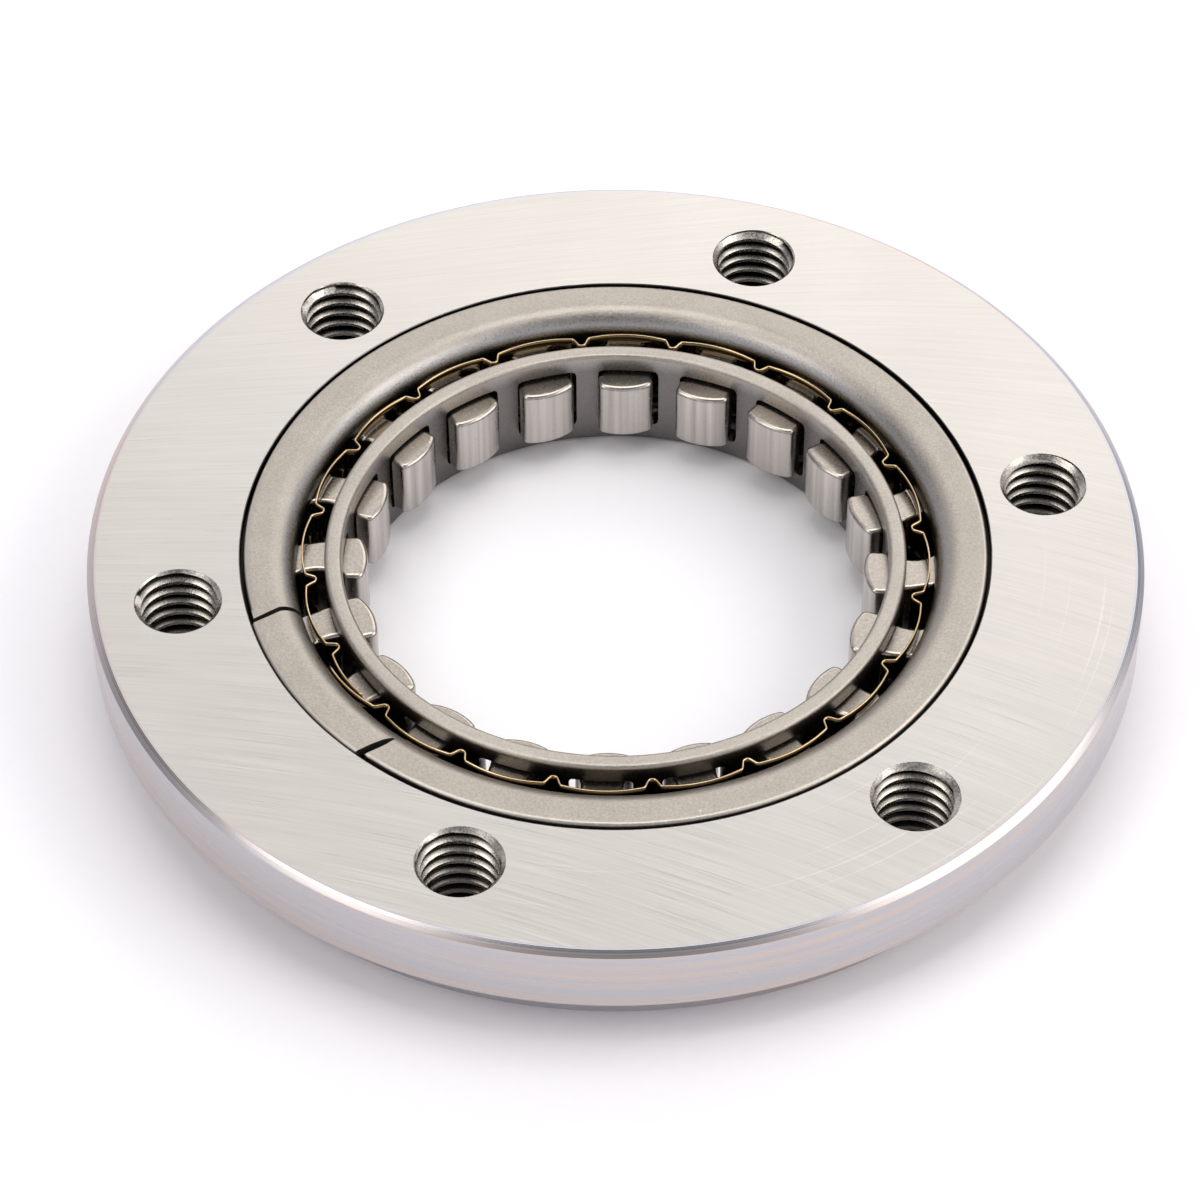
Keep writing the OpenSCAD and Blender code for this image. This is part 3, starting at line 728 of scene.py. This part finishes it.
def build_outer_cage():
    """The flanged cage: one sheet through the middle of its metal, given its thickness last.

    The wall has a window for each sprag. Above it the sheet bends out into the flange. Up to 18
    columns beside the two slits follow the slits' edges, and the cells between are left out. The
    sheet thins by 0.7 (1 - cos t) over the last 0.35 mm sin t, which rounds the flange's rim.
    """
    window, shares = (-2.19, 3.765), [0, 0.35, 0.75, 1]
    angles, heights = pierced_patch(0.5, BEND_FOOT_Z, 12, OUTER_CAGE_R, window, shares)
    patch = polar(OUTER_CAGE_R, angles + FIRST_SPRAG, heights)
    grids = [grid(turned(patch, STEP * k), closed=True) for k in range(SPRAGS)]
    slit_b_r = 28.8
    bend_r, bend_z = OUTER_CAGE_R + BEND_R, FLANGE_Z - BEND_R
    to_slit = math.degrees(math.acos((slit_b_r - bend_r) / BEND_R))
    bend = np.concatenate([np.linspace(180, to_slit, 8), np.linspace(to_slit, 90, 5)[1:]])
    bend = np.radians(bend)
    round_wide, tab_from, follow = 0.35, 30.5, 18
    rim = 31.33 + round_wide * np.sin(np.radians([0, 20, 40, 60, 75, 90]))
    arc = bend_r + BEND_R * np.cos(bend)
    rows_r = np.concatenate([[OUTER_CAGE_R], arc, [30, tab_from, 31], rim])
    rows_z = [[BEND_FOOT_Z], bend_z + BEND_R * np.sin(bend), np.full(9, FLANGE_Z)]
    rows_z = np.concatenate(rows_z)
    radius = rows_r[:, None] + 0 * COLUMNS
    angle = COLUMNS + 0 * radius
    numbers = np.arange(len(COLUMNS))
    keep = np.ones((len(rows_r) - 1, len(COLUMNS)), bool)
    edges = []
    # direction and radius at which each slit starts, where and how far it leans, half its width
    widening = np.interp(rows_r, [slit_b_r, 29.6, 31.7], [0.12, 0.32, 0.4])
    slits = (
        (184.95, OUTER_CAGE_R, 29.3, -17.8, 0.24),
        (220.2, slit_b_r, slit_b_r, 21.0, widening),
    )
    for start_angle, start_r, lean_from, lean, half in slits:
        middle = slit_path(rows_r, lean_from, start_angle, lean)
        cell = int((start_angle - COLUMNS[0]) // COLUMN)
        cut = rows_r >= start_r - 1e-6
        foot_z = rows_z[cut][0] - BEND_FOOT_Z
        ramp = np.clip((rows_z - BEND_FOOT_Z) / (foot_z + 1e-9), 0, 1)
        for column, side in ((cell, -1), (cell + 1, 1)):
            moved = (middle + side * np.degrees(half / rows_r) - COLUMNS[column]) * ramp
            away = side * (numbers - column)
            fade = np.where(away >= 0, np.clip(1 - away / follow, 0, 1), 0)
            angle = angle + moved[:, None] * fade
        keep[cut[:-1], cell] = False
        edges.append(cell)
    beyond = np.clip((rows_r[:, None] - tab_from) / (rim[0] - tab_from), 0, 1)
    on_tab = (numbers > edges[0]) & (numbers <= edges[1])
    radius = radius + beyond * rim_shift(COLUMNS, on_tab)
    top = polar(radius, angle, rows_z[:, None] + 0 * radius)
    grids.append(grid(top, keep=keep, closed=True))
    # the last colour is near-black painted shade on the wall's inner face, which faces the ribbon
    # spring
    finish = blasted_steel(
        "blasted_steel_outer", "#968F85", "#BBB4AA", (10.3, 11.0), "#1C1917", (28.1, 27.4)
    )
    made = surface("blasted_outer_cage", grids, [finish], sharp=40)
    away, course, z = mesh_places(made)
    course = np.degrees(course) % 360
    rim_from = rim[0] + rim_shift(course, (course > 184) & (course < 219))
    in_rim = np.clip((away - rim_from) / round_wide, 0, 1) * (z > FLANGE_Z - 0.03)
    # painted highlight: a pale line along the inner part of the rounded rim
    rim_highlight = np.sin(math.pi * np.clip(in_rim / 0.85, 0, 1))
    made.data.attributes.new("rim_highlight", "FLOAT", "POINT").data.foreach_set("value", rim_highlight)
    share = np.round(0.3 + 0.7 * np.sqrt(1 - in_rim**2), 3)
    thinned = made.vertex_groups.new(name="rim_thickness")
    for value in np.unique(share):
        thinned.add(np.flatnonzero(share == value).tolist(), float(value), "REPLACE")
    wall = made.modifiers.new("sheet", "SOLIDIFY")
    wall.thickness = 1.0 * MM
    wall.offset = 0
    wall.use_even_offset = True
    wall.vertex_group = thinned.name
    edge = made.modifiers.new("broken_edges", "BEVEL")
    edge.width = 0.12 * MM
    edge.segments = 2
    edge.limit_method = "ANGLE"
    edge.angle_limit = math.radians(45)
    edge.harden_normals = True
    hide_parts("outer_cage")
    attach(made, "outer_cage")


def build_inner_cage():
    """The inner cage: a plain ring, its rims rounded, with a window for each sprag.

    Each window is one grid: over the outer face to the window, through it and out over the inner
    face. Both rims are a turned profile.
    """
    inner, outer = INNER_CAGE_IN, INNER_CAGE_OUT
    shares = [0, 0.4, 0.8, 0.97, 1]
    window_at, window_half = -0.22, 2.675
    window = (window_at - window_half, window_at + window_half)
    broken = 0.08
    low, high, rim = 0.6, 9.85, 0.5
    out_a, out_z = pierced_patch(low, high, 14, outer, window, shares)
    in_a, in_z = pierced_patch(low, high, 14, inner, window, shares)
    rows = [
        polar(outer, out_a[:4], out_z[:4]),
        polar(outer - broken, out_a[4:], out_z[4:]),
        polar(inner + broken, in_a[4:], in_z[4:]),
        polar(inner, in_a[3::-1], in_z[3::-1]),
    ]
    patch = turned(np.concatenate(rows), FIRST_SPRAG)
    grids = [grid(turned(patch, STEP * k), closed=True) for k in range(SPRAGS)]
    for out, back, face, end in ((outer, inner, high, high + rim), (inner, outer, low, low - rim)):
        profile = rounded([(out, face), (out, end), (back, end), (back, face)], 0.4, 6)
        grids.append(spun(profile, COLUMNS))
    # the last colour is darker painted shade on the wall's outer face, which faces the ribbon
    # spring
    finish = blasted_steel(
        "blasted_steel_inner", "#9B948B", "#C1BAB0", (9.4, 10.0), "#5E5A56", (24.4, 24.8)
    )
    made = surface("blasted_inner_cage", grids, [finish], sharp=40)
    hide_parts("inner_cage")
    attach(made, "inner_cage")


# ---------------------------------------------------------------- ribbon spring


def ribbon_radius(angle):
    """Radius of the ribbon's middle surface at each direction.

    Behind a sprag it is RIBBON_R, and from there to a kink it falls by 0.45 s s, where s grows
    from 0 to 1. A kink dips 0.74 mm more, in half a cosine wave from 0.8 to 0.18 mm beside its
    middle, and its bottom is level; that is steeper and rounder than in the solids. Over 25
    degrees at the lap the outer end rises 0.14 mm and the inner end falls as much, and over its
    last 12 degrees the outer end springs 0.36 mm further out.
    """
    away = from_nearest(angle, FIRST_KINK, STEP)
    crown = 0.45 * (1 - np.abs(away) / (STEP / 2)) ** 2
    along = RIBBON_R * np.radians(away)
    down = np.clip((0.8 - np.abs(along)) / 0.62, 0, 1)
    dip = 0.74 * (0.5 - 0.5 * np.cos(math.pi * down))
    from_start, from_end = angle - RIBBON_START, RIBBON_END - angle
    lap = 0.14 * (np.maximum(0, 1 - from_start / 25) - np.maximum(0, 1 - from_end / 25))
    sprung = 0.36 * np.maximum(0, 1 - from_start / 12)
    return RIBBON_R - crown - dip + lap + sprung


def build_ribbon():
    """The ribbon spring: one strip, sampled closely in its kinks, with openings left out.

    Tongues are small strips from one side of each lanced opening to their tips.
    """
    kink_half = math.degrees(KINK_HALF / RIBBON_R)
    window_half = math.degrees(math.asin(2.35 / RIBBON_R))
    kink = np.linspace(-kink_half, kink_half, 25)
    arc = np.linspace(STEP / 2 - window_half, STEP / 2 + window_half, 13)
    turns = np.arange(-1, SPRAGS + 4)[:, None]
    angle = (FIRST_KINK + 180 + STEP * turns + np.concatenate([kink, arc])).ravel()
    angle = angle[(angle > RIBBON_START + 0.2) & (angle < RIBBON_END - 0.2)]
    angle = np.concatenate([[RIBBON_START], angle, [RIBBON_END]])
    lances = WINDOW_MIDDLE + np.array([-1.4, -1.15, 0, 1.15, 1.4])
    z = np.concatenate([[1.0, 1.5, WINDOW_LOW, 3.0], lances, [7.7, WINDOW_HIGH, 9.1, 9.7]])
    points = polar(ribbon_radius(angle), angle, z[:, None])
    mid_a = (angle[1:] + angle[:-1]) / 2
    mid_z = ((z[1:] + z[:-1]) / 2)[:, None]
    from_sprag = np.abs(from_nearest(mid_a, FIRST_SPRAG, STEP))
    from_kink = np.abs(from_nearest(mid_a, FIRST_KINK, STEP))
    in_window = (from_sprag < window_half) & (mid_z > WINDOW_LOW) & (mid_z < WINDOW_HIGH)
    in_lance = (from_kink < kink_half) & (mid_z > lances[0]) & (mid_z < lances[-1])
    grids = [grid(points, keep=~(in_window | in_lance))]
    share = np.linspace(0, 1, 6)[:, None]
    tongue_tip = np.array([25.37, 1.1, 0.0])
    for k in range(SPRAGS):
        root_a = FIRST_KINK - kink_half + STEP * k
        on_strip = RIBBON_START + (root_a - RIBBON_START) % 360
        root = polar(ribbon_radius(np.array(on_strip)), on_strip, 0.0)
        tip = turned(tongue_tip, FIRST_KINK + STEP * k)
        run = root + (tip - root) * share
        tongue = run[None] + np.array([0, 0, 1]) * lances[1:4, None, None]
        grids.append(grid(tongue))
    made = surface("tempered_ribbon", grids, [tempered_strip()], sharp=50, welded=0.004)
    wall = made.modifiers.new("strip", "SOLIDIFY")
    wall.thickness = 0.14 * MM
    wall.offset = 0
    wall.use_even_offset = True
    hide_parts("ribbon_spring")
    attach(made, "outer_cage")


# ---------------------------------------------------------------- sprags


def sprag_flanks(x):
    """The high and low flank of a sprag at each distance from the clutch axis.

    The nose is a circle of 5.5 mm with 0.65 mm corners, the waist is hollowed by a circle of
    3.6 mm on each side, the head is a circle of 2.425 mm, and a straight web joins waist and
    head on the low side.
    """
    nose_x, nose_y, nose_r = 26.75, 0.45, 5.5
    side, corner = 1.75, 0.65
    waist_x, waist_r = 25.25, 3.6
    waist_high, waist_low = 5.25, -5.45
    head_x, head_y, head_r = 28.03, 1.2, 2.425
    web_end = 28.93
    body, wide = 2.4, 9

    def arc(centre, radius):
        return np.sqrt(np.maximum(radius**2 - (x - centre) ** 2, 0))

    inner_r = nose_r - corner
    corner_low = nose_x - math.sqrt(inner_r**2 - (-side - nose_y) ** 2)
    corner_high = nose_x - math.sqrt(inner_r**2 - (side - nose_y) ** 2)
    nose_high = np.where(x < corner_high - corner, -wide, side + arc(corner_high, corner))
    nose_high = np.where(x > corner_high, body, nose_high)
    nose_low = np.where(x < corner_low - corner, wide, -side - arc(corner_low, corner))
    nose_low = np.where(x > corner_low, -body, nose_low)
    nose_high = np.maximum(nose_high, np.minimum(nose_y + arc(nose_x, nose_r), side))
    nose_low = np.minimum(nose_low, np.maximum(nose_y - arc(nose_x, nose_r), -side))
    head_high = np.where(x < head_x - head_r, -wide, head_y + arc(head_x, head_r))
    head_low = head_y - arc(head_x, head_r)
    web = np.interp(x, [waist_x, web_end], [-1.85, -1.05])
    high = np.where(x < head_x, np.maximum(nose_high, head_high), head_high)
    low = np.where(x < web_end, np.minimum(web, head_low), head_low)
    low = np.where(x < waist_x, nose_low, low)
    past_waist = wide * (np.abs(x - waist_x) > waist_r)
    high = np.minimum(high, waist_high - arc(waist_x, waist_r) + past_waist)
    low = np.maximum(low, waist_low + arc(waist_x, waist_r) - past_waist)
    return high, low


def sprag_shape():
    """One sprag on +X: its outline carried up the axis, drawn in over rounded ends.

    Near an end the outline moves inwards by r (1 - sin t) while the height moves r (1 - cos t),
    so the edge is a quarter circle. Each flat end is a ladder between the two flanks.
    """
    count = 56
    tip, tail = 21.25, 30.455
    foot, head = 2.4, 8.3
    edge = 0.38
    x = tip + (tail - tip) * (1 - np.cos(np.linspace(0, math.pi, count + 1))) / 2
    high, low = sprag_flanks(x)
    loop = np.concatenate([np.stack([x, low], -1), np.stack([x, high], -1)[-2:0:-1]])
    run = np.roll(loop, -1, 0) - np.roll(loop, 1, 0)
    normal = np.stack([run[:, 1], -run[:, 0]], -1)
    normal /= np.linalg.norm(normal, axis=1, keepdims=True)
    t = np.linspace(0, math.pi / 2, 6)
    inset = edge * (1 - np.sin(t))
    drop = edge * (1 - np.cos(t))
    inset = np.concatenate([inset, inset[::-1]])[:, None, None]
    z = np.concatenate([foot + drop, head - drop[::-1]])
    flat = loop[None] - normal[None] * inset
    sides = np.concatenate([flat, np.broadcast_to(z[:, None, None], flat.shape[:2] + (1,))], -1)
    rungs = np.linspace(0, 1, 7)[:, None, None]
    outline = sides[0]
    one = outline[: count + 1]
    other = np.concatenate([outline[:1], outline[:count:-1], outline[count : count + 1]])
    lower = one + (other - one) * rungs
    upper = lower[::-1] + np.array([0, 0, head - foot])
    return sides, lower, upper


def build_sprags():
    """Twenty sprags, one piece each, turned to their places."""
    sides, lower, upper = sprag_shape()
    finish = tumbled_steel()
    for number in range(1, SPRAGS + 1):
        degrees = FIRST_SPRAG + STEP * (number - 1)
        grids = [grid(turned(sides, degrees), closed=True)]
        grids += [grid(turned(lower, degrees)), grid(turned(upper, degrees))]
        made = surface(f"tumbled_sprag_{number:02d}", grids, [finish], sharp=50)
        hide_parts(f"sprag_{number:02d}")
        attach(made, f"sprag_{number:02d}")


build_housing()
build_outer_cage()
build_inner_cage()
build_ribbon()
build_sprags()


# ---------------------------------------------------------------- floor and light


def floor():
    """A flat sheet of white paper, 3 m square, under the clutch."""
    line = np.linspace(-1500.0, 1500.0, 3)
    x, y = np.meshgrid(line, line)
    sheet = surface("studio_floor", [grid(np.stack([x, y, 0 * x], -1))], [seamless_paper()])


def towards(course, rise):
    """Unit direction at a course round the clutch, from the camera's right, and a rise above it."""
    a, b = math.radians(course - HOLE_TURN), math.radians(rise)
    return Vector((math.cos(b) * math.cos(a), math.cos(b) * math.sin(a), math.sin(b)))


def white_room():
    """Room light: a pale ceiling and walls, with the dark places that the bevel mirrors.

    Each dark place has a direction, the cosines at which it ends and is full, and its depth.
    """
    world = bpy.data.worlds.new("white_room")
    world.use_nodes = True
    tree = world.node_tree
    here = (add(tree, "ShaderNodeTexCoord"), "Generated")
    left = 0.93
    for direction, edge, full, depth in (
        (towards(270, 58), 0.80, 0.97, 0.75),
        (towards(166, 30), 0.90, 0.985, 0.75),
        (towards(45, 8), 0.90, 0.985, 0.6),
        (towards(84, 6), 0.87, 0.98, 0.8),
    ):
        near = add(tree, "ShaderNodeVectorMath", {0: here, 1: direction}, operation="DOT_PRODUCT")
        inputs = {0: (near, "Value"), 1: edge, 2: full, 3: 1.0, 4: 1 - depth}
        kept = add(tree, "ShaderNodeMapRange", inputs, interpolation_type="SMOOTHSTEP")
        left = add(tree, "ShaderNodeMath", {0: kept, 1: left}, operation="MULTIPLY")
    background = tree.nodes["Background"]
    background.inputs["Color"].default_value = linear("#F1F0F6")
    tree.links.new(left.outputs[0], background.inputs["Strength"])
    bpy.context.scene.world = world


def soft_boxes():
    """Four soft boxes that face the clutch: right, left, back and overhead.

    Each has a direction, a distance and a width and depth in metres, a power and a colour.
    """
    for name, direction, away, size, power, colour in (
        ("right_soft_box", towards(-8, 40), 1.1, (0.8, 0.6), 3.3, "#FFFCF6"),
        ("left_soft_box", towards(206, 52), 1.1, (0.5, 0.5), 2.0, "#FFFCF6"),
        ("back_soft_box", towards(71, 34), 1.2, (1.3, 0.5), 3.1, "#FFFDF9"),
        ("top_soft_box", towards(80, 82), 1.3, (0.8, 0.6), 3.7, "#FFFDF9"),
    ):
        light = bpy.data.lights.new(name, "AREA")
        light.shape = "RECTANGLE"
        light.size, light.size_y = size
        light.energy = power
        light.color = linear(colour)[:3]
        lamp = bpy.data.objects.new(name, light)
        lamp.location = direction * away
        lamp.rotation_euler = (-direction * away).to_track_quat("-Z", "Y").to_euler()
        bpy.context.scene.collection.objects.link(lamp)


floor()
white_room()
soft_boxes()

view = bpy.context.scene.view_settings
view.view_transform = "Standard"
view.look = "None"
view.exposure = 0.0
view.gamma = 1.0
